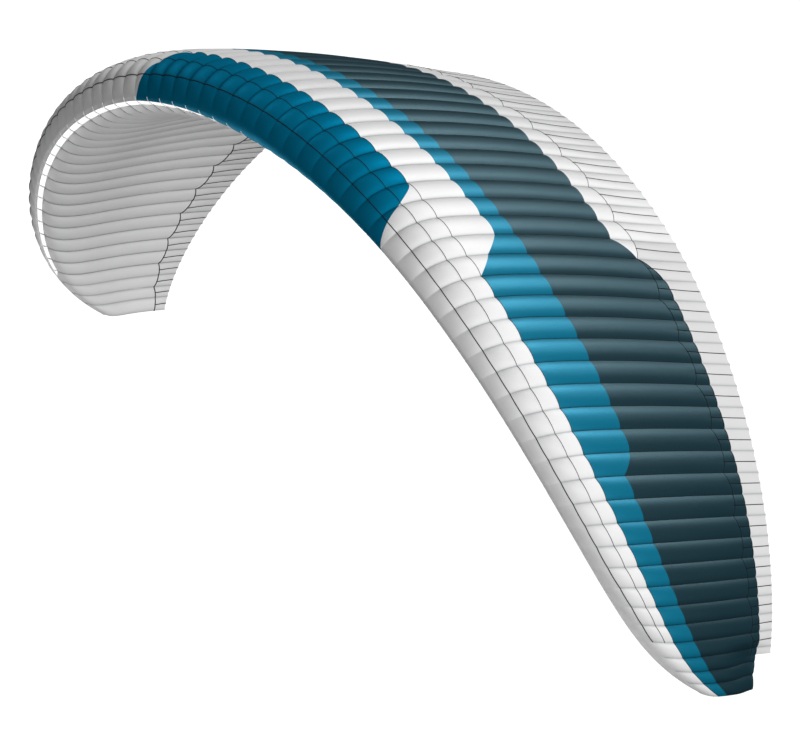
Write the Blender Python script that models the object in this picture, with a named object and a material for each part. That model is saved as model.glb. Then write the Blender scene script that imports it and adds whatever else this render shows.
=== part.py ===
"""Paraglider wing: one inflated ram-air canopy of 66 cells, without lines or risers.

Frame: +X along the span, +Y from the leading edge to the trailing edge, +Z up, metres.
The origin is on the lower skin in the plane of symmetry, where the lines' pull would act.

A place on the canopy is (rib, wrap).  rib counts the ribs from the tip at +X, 0 to 66, and
a cell's middle is at half a rib.  wrap runs round the section: -1 is the trailing edge on
the lower skin, 0 the leading edge and +1 the trailing edge on the upper skin, and its square
is the share of the chord.
"""
import math

import bpy
import numpy as np

# ---- driving dimensions: metres, degrees, shares of the chord ----
CELLS = 66
HALF_SPAN = 5.03          # along the arch, tip to middle
ROOT_CHORD = 2.90
SKIN = 0.002              # cloth with its sewing, as one solid sheet
SEAM_GAP = 0.0003         # between sheets that are sewn together
TRAILING_HALF = 0.0022    # half of the height at the trailing edge
BILLOW = 0.13             # how far a cell swells, as a share of its width
NOSE_TAUTNESS = 0.85      # share of the swell that is lost at the nose
TAUT_AT = -0.06           # wrap where it is lost, and how far round that reaches
TAUT_ABOVE, TAUT_BELOW = 0.13, 0.20
SLANT_CLEARANCE = 0.0016  # more room where a slanting seam twists, as wrap
RIB_PLATE = 0.0015
POINTED_END = 0.004       # width left where a panel runs out to a point
ARC_POINTS = 401          # points along the arch, from the middle to a tip
WRAP_STEP = 0.002         # step for slopes, as wrap
CORNER_GAP = 0.02         # least distance between a rib's corners, as wrap
LEAST_SPAN = 0.01         # a panel narrower than this gives a rib no corners, as wrap

# The arch's slope, in degrees, is a sum of odd powers of the span's share.
ARCH = {1: 89.0, 3: -32.8, 5: 30.3}
# Cells are narrower towards the tips: the share of the span from the share of the cells.
CELL_TAPER = {3: -0.083, 5: 0.155}
# Sweep of the two edges, in metres at the tip, for each power of the span's share.
LEADING = {2: 1.68, 4: 0.263, 8: 0.126, 20: 0.303}
TRAILING = {2: 0.348, 4: -0.209, 8: 0.039, 20: 0.021}
# Twist in degrees: at the root, and for each power of the span's share.
TWIST = {0: -2.73, 2: 11.25, 4: -10.15}
TWIST_AXIS = 0.30         # share of the chord that the section turns about
TIP_STRETCH = 0.0055      # share of the half span by which the end ribs stand further out
TIP_FULLNESS = 0.37       # how much thicker than the root's, for its chord, the tip section is
# Section: weights of the five Bernstein terms that multiply wrap * (1 - share).
UPPER_WEIGHTS = (0.403, 0.142, 0.254, 0.154, 0.138)
LOWER_WEIGHTS = (0.253, 0.091, 0.058, 0.032, 0.032)

# Seams, as shares of the chord, at ribs counted from the nearer tip.
SEAM_COLUMNS = ("rib", "nose", "band", "stripe", "slate", "strip")
SEAMS = (
    (0, 0.165, 0.165, 0.300, 0.790, 0.790),
    (2, 0.140, 0.140, 0.298, 0.849, 0.849),
    (4, 0.131, 0.131, 0.282, 0.871, 0.871),
    (6, 0.127, 0.127, 0.267, 0.875, 0.875),
    (9, 0.119, 0.119, 0.254, 0.875, 0.875),
    (12, 0.113, 0.113, 0.249, 0.873, 0.873),
    (13, 0.113, 0.113, 0.325, 0.868, 0.868),
    (16, 0.115, 0.115, 0.337, 0.863, 0.863),
    (21, 0.121, 0.121, 0.344, 0.857, 0.857),
    (22, 0.121, 0.197, 0.345, 0.792, 0.792),
    (23, 0.122, 0.273, 0.346, 0.728, 0.792),
    (33, 0.122, 0.273, 0.341, 0.721, 0.792),
)
LOWER_SEAM = 0.817
SEAM_ZIGZAG = 0.025       # the strips' seams run this much further aft at the odd ribs
STRIP_ZIGZAG_FROM = 22    # rib where the upper one begins to do so

# Edges of the mouths, as wraps, at ribs counted from the nearer tip.
MOUTH_COLUMNS = ("rib", "nose", "lower")
MOUTHS = (
    (0, -0.072, -0.132),
    (24, -0.072, -0.132),
    (27, -0.095, -0.150),
    (30, -0.130, -0.180),
    (33, -0.160, -0.210),
)
FIRST_MOUTH = 4           # ribs between which the mouths lie
LAST_MOUTH = CELLS - FIRST_MOUTH
PATCH_CORNER = 24         # rib where the middle nose patch meets the mouths
PATCH_SHOULDER = 26       # rib where it meets the nose seam
PATCH_BEND = 1.8          # its end is a straight slant at 1 and rounder above
SPLIT_NEAR = 23           # ribs at which the long panels are divided
SPLIT_FAR = CELLS - SPLIT_NEAR
BAND_CORNER = 21          # rib at which the white band behind the nose begins
AFT_CORNER = 22           # rib at which the white band behind the slate begins
RIB_STEP = 2              # every second rib carries lines and is built
SHORT_TIP = 2.5           # the tip at +X has no trailing strip outboard of this place
CLOSING_FROM = 0.45       # share where that tip's section starts to close
CLOSED_AT = 0.79

COLOURS = {               # linear base colours
    "white": (0.78, 0.79, 0.80),
    "teal": (0.012, 0.115, 0.195),
    "blue": (0.020, 0.205, 0.355),
    "slate": (0.030, 0.065, 0.085),
    "grey_white": (0.62, 0.63, 0.64),
}
ROUGHNESS = 0.55


# ---- the canopy's shape ----
ARC_STEPS = np.linspace(0.0, 1 + TIP_STRETCH, ARC_POINTS)
ARC_SLOPE = np.radians(sum(w * ARC_STEPS ** p for p, w in ARCH.items()))


def running_sum(values):
    """Trapezium sums of values along the arch, from the middle to the tip."""
    steps = (values[1:] + values[:-1]) / 2 * HALF_SPAN * ARC_STEPS[1]
    return np.concatenate(([0.0], np.cumsum(steps)))


ARC_X = running_sum(np.cos(ARC_SLOPE))
ARC_Z = -running_sum(np.sin(ARC_SLOPE))


def span_share(rib):
    """Share of the half span at a rib, 0 in the middle and 1 at either tip."""
    u = abs(1 - 2 * rib / CELLS)
    outermost = max(1 - min(rib, CELLS - rib), 0.0)
    return u + sum(w * (u - u ** p) for p, w in CELL_TAPER.items()) + TIP_STRETCH * outermost


def cell_width(rib):
    """Width along the arch of the cell that holds this place."""
    first = min(int(rib), CELLS - 1)
    if first == CELLS // 2 and rib == first:
        first -= 1
    return HALF_SPAN * abs(span_share(first) - span_share(first + 1))


def bernstein(weights, share):
    last = len(weights) - 1
    return sum(w * math.comb(last, i) * share ** i * (1 - share) ** (last - i)
               for i, w in enumerate(weights))


def closing(rib, share):
    """How far the short tip's section is closed: 0 not at all, 1 fully."""
    across = min(max(SHORT_TIP + 1 - rib, 0.0), 1.0)
    along = min(max((share - CLOSING_FROM) / (CLOSED_AT - CLOSING_FROM), 0.0), 1.0)
    return across * along ** 2


def section_point(rib, wrap, chord):
    """Height and distance aft of a place on the section, in the section's own plane."""
    share = wrap * wrap
    tip = span_share(rib)
    weights = UPPER_WEIGHTS if wrap >= 0 else LOWER_WEIGHTS
    height = wrap * (1 - share) * bernstein(weights, share) * (1 + TIP_FULLNESS * tip ** 2)
    closed = closing(rib, share)
    height *= chord * (1 - closed)
    return share * chord, height + math.copysign(TRAILING_HALF * max(share, closed), wrap)


def fullness(wrap):
    """Share of its swell that a cell has: little at the taut nose, none at the trailing edge."""
    reach = TAUT_ABOVE if wrap >= TAUT_AT else TAUT_BELOW
    taut = NOSE_TAUTNESS * math.exp(-((wrap - TAUT_AT) / reach) ** 2)
    return (1 - wrap ** 8) * (1 - taut)


def place(rib, wrap, depth=0.0, swell=True):
    """Point of the canopy in its own frame, depth metres inside the outer surface."""
    tip = span_share(rib)
    front = sum(w * tip ** p for p, w in LEADING.items())
    rear = ROOT_CHORD + sum(w * tip ** p for p, w in TRAILING.items())
    chord = rear - front
    aft, height = section_point(rib, wrap, chord)
    a0, h0 = section_point(rib, wrap - WRAP_STEP, chord)
    a1, h1 = section_point(rib, wrap + WRAP_STEP, chord)
    run = math.hypot(a1 - a0, h1 - h0)
    cell = rib - math.floor(rib)
    out = -depth
    if swell:
        out += BILLOW * cell_width(rib) * 4 * cell * (1 - cell) * fullness(wrap)
    aft += -(h1 - h0) / run * out
    height += (a1 - a0) / run * out
    turn = math.radians(sum(w * tip ** p for p, w in TWIST.items()))
    axis = TWIST_AXIS * chord
    y = front + axis + (aft - axis) * math.cos(turn) + height * math.sin(turn)
    up = -(aft - axis) * math.sin(turn) + height * math.cos(turn)
    slope = np.interp(tip, ARC_STEPS, ARC_SLOPE)
    side = 1 if rib <= CELLS / 2 else -1
    x = np.interp(tip, ARC_STEPS, ARC_X) + math.sin(slope) * up
    z = np.interp(tip, ARC_STEPS, ARC_Z) + math.cos(slope) * up
    return np.array((side * x, y, z))


ORIGIN = place(CELLS / 2, -math.sqrt(TWIST_AXIS))


def looked_up(table, columns, column, rib):
    """Value of a table's column at a rib."""
    at = columns.index(column)
    return np.interp(min(rib, CELLS - rib), [row[0] for row in table], [row[at] for row in table])


def zigzag(rib):
    """0 at the even ribs, which carry lines, and 1 at the odd ones."""
    return 1 - abs(rib % 2 - 1)


def seam(column, rib):
    """Wrap of a seam of the upper skin at a rib."""
    share = looked_up(SEAMS, SEAM_COLUMNS, column, rib)
    if column == "strip" and min(rib, CELLS - rib) > STRIP_ZIGZAG_FROM:
        share += SEAM_ZIGZAG * zigzag(rib)
    return math.sqrt(share)


def mouth_edge(column, rib):
    """Wrap of an edge of the mouths at a rib."""
    return looked_up(MOUTHS, MOUTH_COLUMNS, column, rib)


def seam_line(column):
    """Edge of a panel that lies along a seam of the upper skin."""
    return lambda rib: seam(column, rib)


def patch_edge(rib):
    """Slanting end of the middle nose patch: from the mouths up to the nose seam."""
    from_tip = min(rib, CELLS - rib)
    short = min(max((PATCH_SHOULDER - from_tip) / (PATCH_SHOULDER - PATCH_CORNER), 0.0), 1.0)
    low = mouth_edge("nose", rib)
    return low + (1 - short ** PATCH_BEND) * (seam("nose", rib) - low)


def nose_front(rib):
    """Front edge of the outer nose panels, clear of the patch's slanting, twisted edge."""
    beside_patch = min(rib, CELLS - rib) >= PATCH_CORNER
    return patch_edge(rib) + (SLANT_CLEARANCE if beside_patch else 0.0)


def patch_front(rib):
    return mouth_edge("nose", rib)


def lower_front(rib):
    """Front edge of the lower skin: behind the mouths, or at the nose near the tips."""
    from_tip = min(rib, CELLS - rib)
    opened = min(max((from_tip - FIRST_MOUTH + 0.5) / 0.5, 0.0), 1.0)
    nose = mouth_edge("nose", rib)
    return nose + opened * (mouth_edge("lower", rib) - nose)


def lower_seam(rib):
    """Seam before the lower trailing strip; it is the cut edge of the short tip."""
    whole = min(max(rib - SHORT_TIP, 0.0), 1.0)
    cut = seam("slate", rib) ** 2
    return -math.sqrt(cut + whole * (LOWER_SEAM + SEAM_ZIGZAG * zigzag(rib) - cut))


def upper_end(rib):
    return 1.0


def lower_end(rib):
    return -1.0


# ---- building solids ----
def wrap_speed(rib, wrap):
    """Metres of skin for each unit of wrap."""
    step = 2 * WRAP_STEP
    return np.linalg.norm(place(rib, wrap + step) - place(rib, wrap - step)) / (2 * step)


def rows_between(front, rear, rib, count):
    """Wraps of a panel's rows at a rib, half a seam gap inside both of its edges."""
    low, high = front(rib), rear(rib)
    return np.linspace(low + SEAM_GAP / 2 / wrap_speed(rib, low),
                       high - SEAM_GAP / 2 / wrap_speed(rib, high), count + 1)


def columns_between(first, last):
    """Rib places of a panel's columns: each rib and each cell's middle."""
    columns = np.arange(first, last + 0.25, 0.5)
    columns[0] += SEAM_GAP / 2 / cell_width(first)
    columns[-1] -= SEAM_GAP / 2 / cell_width(last - 0.5)
    return columns


def add_object(name, points, faces, colour):
    mesh = bpy.data.meshes.new(name)
    mesh.from_pydata([tuple(p - ORIGIN) for p in points], [], faces)
    mesh.validate()
    mesh.materials.append(material(colour))
    thing = bpy.data.objects.new(name, mesh)
    bpy.context.scene.collection.objects.link(thing)
    return thing


def material(colour):
    name = "cloth_" + colour
    found = bpy.data.materials.get(name)
    if found:
        return found
    made = bpy.data.materials.new(name)
    made.use_nodes = True
    shader = made.node_tree.nodes["Principled BSDF"]
    shader.inputs["Base Color"].default_value = (*COLOURS[colour], 1.0)
    shader.inputs["Roughness"].default_value = ROUGHNESS
    return made


def halves(grid, loop):
    """Splits a four-cornered place across its shorter way, the same on both faces of a sheet."""
    a, b, c, d = loop
    corners = [grid[i][j] for i, j in loop]
    if np.linalg.norm(corners[0] - corners[2]) <= np.linalg.norm(corners[1] - corners[3]):
        return (a, b, c), (a, c, d)
    return (a, b, d), (b, c, d)


def sheet(outer, inner):
    """Points and faces of a closed sheet between two grids of points [row][column]."""
    rows, columns = len(outer), len(outer[0])
    points = [point for grid in (outer, inner) for row in grid for point in row]
    under = rows * columns
    faces = []
    for i in range(rows - 1):
        for j in range(columns - 1):
            loop = ((i, j), (i + 1, j), (i + 1, j + 1), (i, j + 1))
            for half in halves(outer, loop):
                face = [row * columns + column for row, column in half]
                faces.append(face)
                faces.append([under + corner for corner in reversed(face)])
    rim = [i * columns for i in range(rows)]
    rim += [(rows - 1) * columns + j for j in range(1, columns)]
    rim += [i * columns + columns - 1 for i in range(rows - 2, -1, -1)]
    rim += list(range(columns - 2, 0, -1))
    for corner, after in zip(rim, rim[1:] + rim[:1]):
        faces.append([after, corner, under + corner, under + after])
    return points, faces


def draw_back(grids, end, inward):
    """Moves an end column that has run out to a point back to where it has some width."""
    outer = grids[0]
    across = outer[-1][end] - outer[0][end]
    across_in = outer[-1][end + inward] - outer[0][end + inward]
    way = across_in / np.linalg.norm(across_in)
    width, width_in = float(across @ way), float(across_in @ way)
    if width >= POINTED_END:
        return
    share = (POINTED_END - width) / (width_in - width)
    for grid in grids:
        for row in grid:
            row[end] = row[end] + share * (row[end + inward] - row[end])


def panel(name, first, last, front, rear, count, colour):
    """Panel of skin between two edges, from rib first to rib last."""
    outer = [[] for _ in range(count + 1)]
    inner = [[] for _ in range(count + 1)]
    for rib in columns_between(first, last):
        for row, wrap in enumerate(rows_between(front, rear, rib, count)):
            outer[row].append(place(rib, wrap))
            inner[row].append(place(rib, wrap, SKIN))
    draw_back((outer, inner), 0, 1)
    draw_back((outer, inner), -1, -1)
    return add_object(name, *sheet(outer, inner), colour)


NOSE, BAND, STRIPE = seam_line("nose"), seam_line("band"), seam_line("stripe")
SLATE, STRIP = seam_line("slate"), seam_line("strip")
UPPER_PANELS = (  # name, first rib, last rib, front edge, rear edge, rows, colour
    ("nose_patch_middle", PATCH_CORNER, CELLS - PATCH_CORNER, patch_front, patch_edge, 5, "teal"),
    ("nose_near", 0, PATCH_SHOULDER, nose_front, NOSE, 5, "white"),
    ("nose_far", CELLS - PATCH_SHOULDER, CELLS, nose_front, NOSE, 5, "white"),
    ("band_middle", BAND_CORNER, CELLS - BAND_CORNER, NOSE, BAND, 1, "white"),
    ("stripe_near", 0, SPLIT_NEAR, BAND, STRIPE, 2, "blue"),
    ("stripe_middle", SPLIT_NEAR, SPLIT_FAR, BAND, STRIPE, 1, "blue"),
    ("stripe_far", SPLIT_FAR, CELLS, BAND, STRIPE, 2, "blue"),
    ("slate_near", 0, SPLIT_NEAR, STRIPE, SLATE, 3, "slate"),
    ("slate_middle", SPLIT_NEAR, SPLIT_FAR, STRIPE, SLATE, 3, "slate"),
    ("slate_far", SPLIT_FAR, CELLS, STRIPE, SLATE, 3, "slate"),
    ("aft_band_middle", AFT_CORNER, CELLS - AFT_CORNER, SLATE, STRIP, 1, "white"),
    ("strip_near", SHORT_TIP, SPLIT_NEAR, STRIP, upper_end, 1, "white"),
    ("strip_middle", SPLIT_NEAR, SPLIT_FAR, STRIP, upper_end, 1, "white"),
    ("strip_far", SPLIT_FAR, CELLS, STRIP, upper_end, 1, "white"),
)
LOWER_PANELS = (
    ("lower_near", 0, SPLIT_NEAR, lower_seam, lower_front, 4, "grey_white"),
    ("lower_middle", SPLIT_NEAR, SPLIT_FAR, lower_seam, lower_front, 4, "grey_white"),
    ("lower_far", SPLIT_FAR, CELLS, lower_seam, lower_front, 4, "grey_white"),
    ("lower_strip_near", SHORT_TIP, SPLIT_NEAR, lower_end, lower_seam, 1, "grey_white"),
    ("lower_strip_middle", SPLIT_NEAR, SPLIT_FAR, lower_end, lower_seam, 1, "grey_white"),
    ("lower_strip_far", SPLIT_FAR, CELLS, lower_end, lower_seam, 1, "grey_white"),
)


def skin_wraps(rib, trailing):
    """Wraps at which the skins have their rows at a rib, from lower to upper."""
    wraps = []
    for name, first, last, front, rear, count, colour in LOWER_PANELS + UPPER_PANELS:
        at_trailing_edge = front is lower_end or rear is upper_end
        if first <= rib <= last and (trailing or not at_trailing_edge):
            rows = rows_between(front, rear, rib, count)
            if rows[-1] - rows[0] > LEAST_SPAN:
                wraps += list(rows)
    return sorted(wraps)


def thinned(wraps, least):
    """Drops the places that lie closer together than least."""
    kept = [wraps[0]]
    for wrap in wraps[1:]:
        if wrap - kept[-1] > least:
            kept.append(wrap)
    return kept


def plate(name, near_side, far_side, colour):
    """Closed plate between two outlines; near_side faces +X."""
    count = len(near_side)
    faces = [list(reversed(range(count))), [count + i for i in range(count)]]
    for i in range(count):
        after = (i + 1) % count
        faces.append([i, after, count + after, count + i])
    return add_object(name, list(near_side) + list(far_side), faces, colour)


def rib_outline(number):
    """Wraps and depths round a load rib: inside the skins, and flush with them at a mouth."""
    inside = SKIN + SEAM_GAP
    wraps = thinned(skin_wraps(number, False), CORNER_GAP)
    if not FIRST_MOUTH <= number <= LAST_MOUTH:
        return [(wrap, inside) for wrap in wraps]
    rear, front = mouth_edge("lower", number), mouth_edge("nose", number)
    gap = SEAM_GAP / wrap_speed(number, rear)
    rear, front = rear + gap, front - gap
    nose = [(rear, inside), (rear, 0.0), ((rear + front) / 2, 0.0), (front, 0.0), (front, inside)]
    lower = [(wrap, inside) for wrap in wraps if wrap < rear - CORNER_GAP]
    upper = [(wrap, inside) for wrap in wraps if wrap > front + CORNER_GAP]
    return lower + nose + upper


def load_rib(number):
    """Rib plate inside the skins, from the nose back to the trailing strips."""
    half = RIB_PLATE / 2 / cell_width(number)
    outline = rib_outline(number)
    near = [place(number - half, wrap, depth, False) for wrap, depth in outline]
    far = [place(number + half, wrap, depth, False) for wrap, depth in outline]
    return plate("rib_%02d" % number, near, far, "white")


def tip_cap(name, rib):
    """Flat panel that closes a tip, just outside the ends of the skins."""
    wraps = thinned(skin_wraps(rib, True), CORNER_GAP)
    side = 1 if rib == 0 else -1
    slope = np.interp(span_share(rib), ARC_STEPS, ARC_SLOPE)
    outward = np.array((side * math.cos(slope), 0.0, -math.sin(slope)))
    edge = [place(rib, wrap, 0.0, False) for wrap in wraps]
    outer = [p + outward * (SEAM_GAP / 2 + SKIN) for p in edge]
    inner = [p + outward * SEAM_GAP / 2 for p in edge]
    if side > 0:
        return plate(name, outer, inner, "white")
    return plate(name, inner, outer, "white")


def build():
    for thing in list(bpy.data.objects):
        bpy.data.objects.remove(thing, do_unlink=True)
    for row in UPPER_PANELS + LOWER_PANELS:
        panel(*row)
    for number in range(RIB_STEP, CELLS, RIB_STEP):
        load_rib(number)
    tip_cap("tip_near", 0)
    tip_cap("tip_far", CELLS)


build()
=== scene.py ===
"""Paraglider wing, dressed: billowed cloth panels, seams, mini ribs, mouths and inner ribs.

Frame: +X along the span, +Y from the leading edge to the trailing edge, +Z up, metres.
A place on the canopy is (rib, wrap): rib counts the ribs from the tip at +X, 0 to 66, and
wrap runs round the section, -1 at the trailing edge of the lower skin, 0 at the leading
edge, +1 at the trailing edge of the upper skin.  Its square is the share of the chord.
"""
import math

import bpy
import numpy as np
from mathutils import Matrix, Vector


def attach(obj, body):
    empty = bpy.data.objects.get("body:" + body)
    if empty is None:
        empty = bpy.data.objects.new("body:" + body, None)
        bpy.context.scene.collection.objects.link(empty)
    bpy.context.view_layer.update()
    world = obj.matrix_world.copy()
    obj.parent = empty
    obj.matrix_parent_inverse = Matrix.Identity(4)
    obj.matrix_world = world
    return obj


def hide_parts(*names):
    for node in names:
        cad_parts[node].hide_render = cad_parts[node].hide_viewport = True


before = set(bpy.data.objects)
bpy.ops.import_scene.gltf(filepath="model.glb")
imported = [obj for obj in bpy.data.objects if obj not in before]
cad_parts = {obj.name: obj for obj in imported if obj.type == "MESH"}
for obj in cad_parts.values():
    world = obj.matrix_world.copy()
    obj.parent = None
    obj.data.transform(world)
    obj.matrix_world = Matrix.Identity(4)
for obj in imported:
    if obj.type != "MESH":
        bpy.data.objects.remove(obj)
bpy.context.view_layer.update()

# ---- the canopy's sizes: metres, degrees, shares of the chord ----
CELLS = 66
HALF_SPAN = 5.03
ROOT_CHORD = 2.90
TRAILING_HALF = 0.0022    # half the depth of the section at its trailing edge
BILLOW = 0.13             # height of a cell's swell, as a share of the cell's width
# polynomials in the share of the half span, as power: factor
ARCH = {1: 89.0, 3: -32.8, 5: 30.3}     # degrees of slope
CELL_TAPER = {3: -0.083, 5: 0.155}
LEADING = {2: 1.68, 4: 0.263, 8: 0.126, 20: 0.303}
TRAILING = {2: 0.348, 4: -0.209, 8: 0.039, 20: 0.021}
TWIST = {0: -2.73, 2: 11.25, 4: -10.15}
TWIST_AXIS = 0.30         # share of the chord about which the section turns
TIP_STRETCH = 0.0055      # share of the half span by which the end ribs stand further out
TIP_FULLNESS = 0.37       # share by which the section is deeper at the tips
UPPER_WEIGHTS = (0.403, 0.142, 0.254, 0.154, 0.138)
LOWER_WEIGHTS = (0.253, 0.091, 0.058, 0.032, 0.032)
SEAM_COLUMNS = ("rib", "nose", "band", "stripe", "slate", "strip")
SEAMS = (
    (0, 0.165, 0.165, 0.300, 0.790, 0.790),
    (2, 0.140, 0.140, 0.298, 0.849, 0.849),
    (4, 0.131, 0.131, 0.282, 0.871, 0.871),
    (6, 0.127, 0.127, 0.267, 0.875, 0.875),
    (9, 0.119, 0.119, 0.254, 0.875, 0.875),
    (12, 0.113, 0.113, 0.249, 0.873, 0.873),
    (13, 0.113, 0.113, 0.325, 0.868, 0.868),
    (16, 0.115, 0.115, 0.337, 0.863, 0.863),
    (21, 0.121, 0.121, 0.344, 0.857, 0.857),
    (22, 0.121, 0.197, 0.345, 0.792, 0.792),
    (23, 0.122, 0.273, 0.346, 0.728, 0.792),
    (33, 0.122, 0.273, 0.341, 0.721, 0.792),
)
LOWER_SEAM = 0.817
UPPER_MINI_RIBS = 0.792   # share at which the mini ribs of the upper skin begin
SEAM_ZIGZAG = 0.025       # the strips' seams run this much further aft at the odd ribs
STRIP_ZIGZAG_FROM = 22
MOUTHS = (                # rib from the nearer tip, wrap of the nose's and the lower skin's edge
    (0, -0.072, -0.132),
    (24, -0.072, -0.132),
    (27, -0.095, -0.150),
    (30, -0.130, -0.180),
    (33, -0.160, -0.210),
)
FIRST_MOUTH, LAST_MOUTH = 4, 62   # ribs between which the mouths lie
MOUTH_OPENS = 0.5         # cells over which the outermost mouths open
PATCH_CORNER, PATCH_SHOULDER = 24, 26   # ribs between which the middle patch slants to its end
PATCH_BEND = 1.8          # 1 is a straight slant; more is rounder
SPLIT_NEAR, SPLIT_FAR = 23, 43          # ribs where the long panels are joined
BAND_CORNER, AFT_CORNER = 21, 22        # ribs at which the two middle bands end
SHORT_TIP = 2.5           # the trailing strip ends here at the near tip
CLOSING_FROM, CLOSED_AT = 0.45, 0.79   # shares of the chord over which the slate's tail closes

# ---- how the cloth is drawn ----
STEPS = 12                # columns in each cell
ROUNDNESS = 2.4           # 2 is a parabola across the cell; more is fuller at the ribs
SMOOTHED = 0.05           # metres off a crease at which the cloth below the tape takes its painted crease shade and gathers
SMOOTHED_OVER = 0.05      # wrap below the tape over which that comes in
MOUTH_SHADE_RATE = 0.25          # how fast the painted shade along the mouths' edge fades, metres for each wrap
NOSE_OUT, LIP_IN = 0.010, 0.012    # how far the mouths' edges stand out and are drawn in
NOSE_REACH, LIP_REACH = 0.06, 0.05  # how far round from its edge each of them reaches, as wrap
KEPT = 0.65               # share of a cell's swell that its mini rib takes away
SPLIT_RATE = 1.6          # how soon behind a mini rib's start the cell is fully halved
REAR_SHARPNESS = 16       # higher keeps the cells full nearer to the trailing edge
NOSE_TAUTNESS = 0.95      # share of the swell that is lost at the nose
TAUT_AT = -0.06           # wrap where it is lost, and how far round that reaches
TAUT_ABOVE, TAUT_BELOW = 0.16, 0.20
SLOPE_STEP = 0.002        # wrap either side of a place at which the section's slope is taken
CLOTH = 0.0012            # thickness of a panel
THREAD = 0.0016           # usual half width of a seam line
THREAD_LIFT = 0.0006      # how far a seam line's middle lies above the cloth
TRAILING_SCALLOP = 0.003  # how far the trailing edge is drawn forward, as wrap
LEAST = 0.0006            # least wrap that a panel keeps at a point

ARC_POINTS = 401
ARC_STEPS = np.linspace(0.0, 1 + TIP_STRETCH, ARC_POINTS)
ARC_SLOPE = np.radians(sum(w * ARC_STEPS ** p for p, w in ARCH.items()))


def running_sum(values):
    """Sum of the values along the arch, in metres, from the middle to each of its steps."""
    steps = (values[1:] + values[:-1]) / 2 * HALF_SPAN * ARC_STEPS[1]
    return np.concatenate(([0.0], np.cumsum(steps)))


ARC_X = running_sum(np.cos(ARC_SLOPE))
ARC_Z = -running_sum(np.sin(ARC_SLOPE))


def span_share(rib):
    """Place of a rib along the arch: 0 in the middle, just past 1 at a tip."""
    u = np.abs(1 - 2 * rib / CELLS)
    outermost = np.maximum(1 - np.minimum(rib, CELLS - rib), 0.0)
    return u + sum(w * (u - u ** p) for p, w in CELL_TAPER.items()) + TIP_STRETCH * outermost


WIDTHS = HALF_SPAN * np.abs(np.diff(span_share(np.arange(CELLS + 1.0))))
ALONG = np.concatenate(([0.0], np.cumsum(WIDTHS)))


def bernstein(weights, share):
    last = len(weights) - 1
    return sum(w * math.comb(last, i) * share ** i * (1 - share) ** (last - i)
               for i, w in enumerate(weights))


def section_point(rib, wrap, chord):
    """Distance aft and height of a place on the section, in the section's own plane."""
    share = wrap * wrap
    tip = span_share(rib)
    weights = np.where(wrap >= 0, bernstein(UPPER_WEIGHTS, share), bernstein(LOWER_WEIGHTS, share))
    across = np.clip(SHORT_TIP + 1 - rib, 0.0, 1.0)
    along = np.clip((share - CLOSING_FROM) / (CLOSED_AT - CLOSING_FROM), 0.0, 1.0)
    closed = across * along ** 2
    height = wrap * (1 - share) * weights * (1 + TIP_FULLNESS * tip ** 2) * chord * (1 - closed)
    side = np.where(wrap >= 0, 1.0, -1.0)
    return share * chord, height + side * TRAILING_HALF * np.maximum(share, closed)


def swelling(rib, wrap):
    """Height of the air-filled cell over its ribs; mini ribs halve it near the trailing edge."""
    cell = np.clip(np.floor(rib).astype(int), 0, CELLS - 1)
    t = rib - cell
    whole = 1 - np.abs(2 * t - 1) ** ROUNDNESS
    halves = 0.5 * (1 - np.abs(2 * ((2 * t) % 1.0) - 1) ** ROUNDNESS)
    halves = np.where((t <= 0) | (t >= 1), 0.0, halves)
    share = wrap * wrap
    start = np.where(wrap >= 0, UPPER_MINI_RIBS, LOWER_SEAM)
    split = np.clip((share - start) / (1 - start) * SPLIT_RATE, 0.0, 1.0)
    reach = np.where(wrap >= TAUT_AT, TAUT_ABOVE, TAUT_BELOW)
    taut = NOSE_TAUTNESS * np.exp(-((wrap - TAUT_AT) / reach) ** 2)
    fullness = (1 - wrap ** REAR_SHARPNESS) * (1 - taut)
    return BILLOW * WIDTHS[cell] * (whole * (1 - KEPT * split) + halves * split) * fullness


def from_tip(rib):
    return np.minimum(rib, CELLS - rib)


def looked_up(table, at, rib):
    return np.interp(from_tip(rib), [row[0] for row in table], [row[at] for row in table])


def nose_edge(rib):
    """Lower edge of the nose panels, which is the front edge of the mouths."""
    return looked_up(MOUTHS, 1, rib)


def lip_edge(rib):
    """Front edge of the lower skin behind the mouths."""
    return looked_up(MOUTHS, 2, rib)


def mouth_shape(rib, wrap):
    """The nose stands out a little over the mouths, and the lip behind them is drawn in."""
    return (NOSE_OUT * np.exp(-((wrap - nose_edge(rib)) / NOSE_REACH) ** 2)
            - LIP_IN * np.exp(-((wrap - lip_edge(rib)) / LIP_REACH) ** 2))


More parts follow.
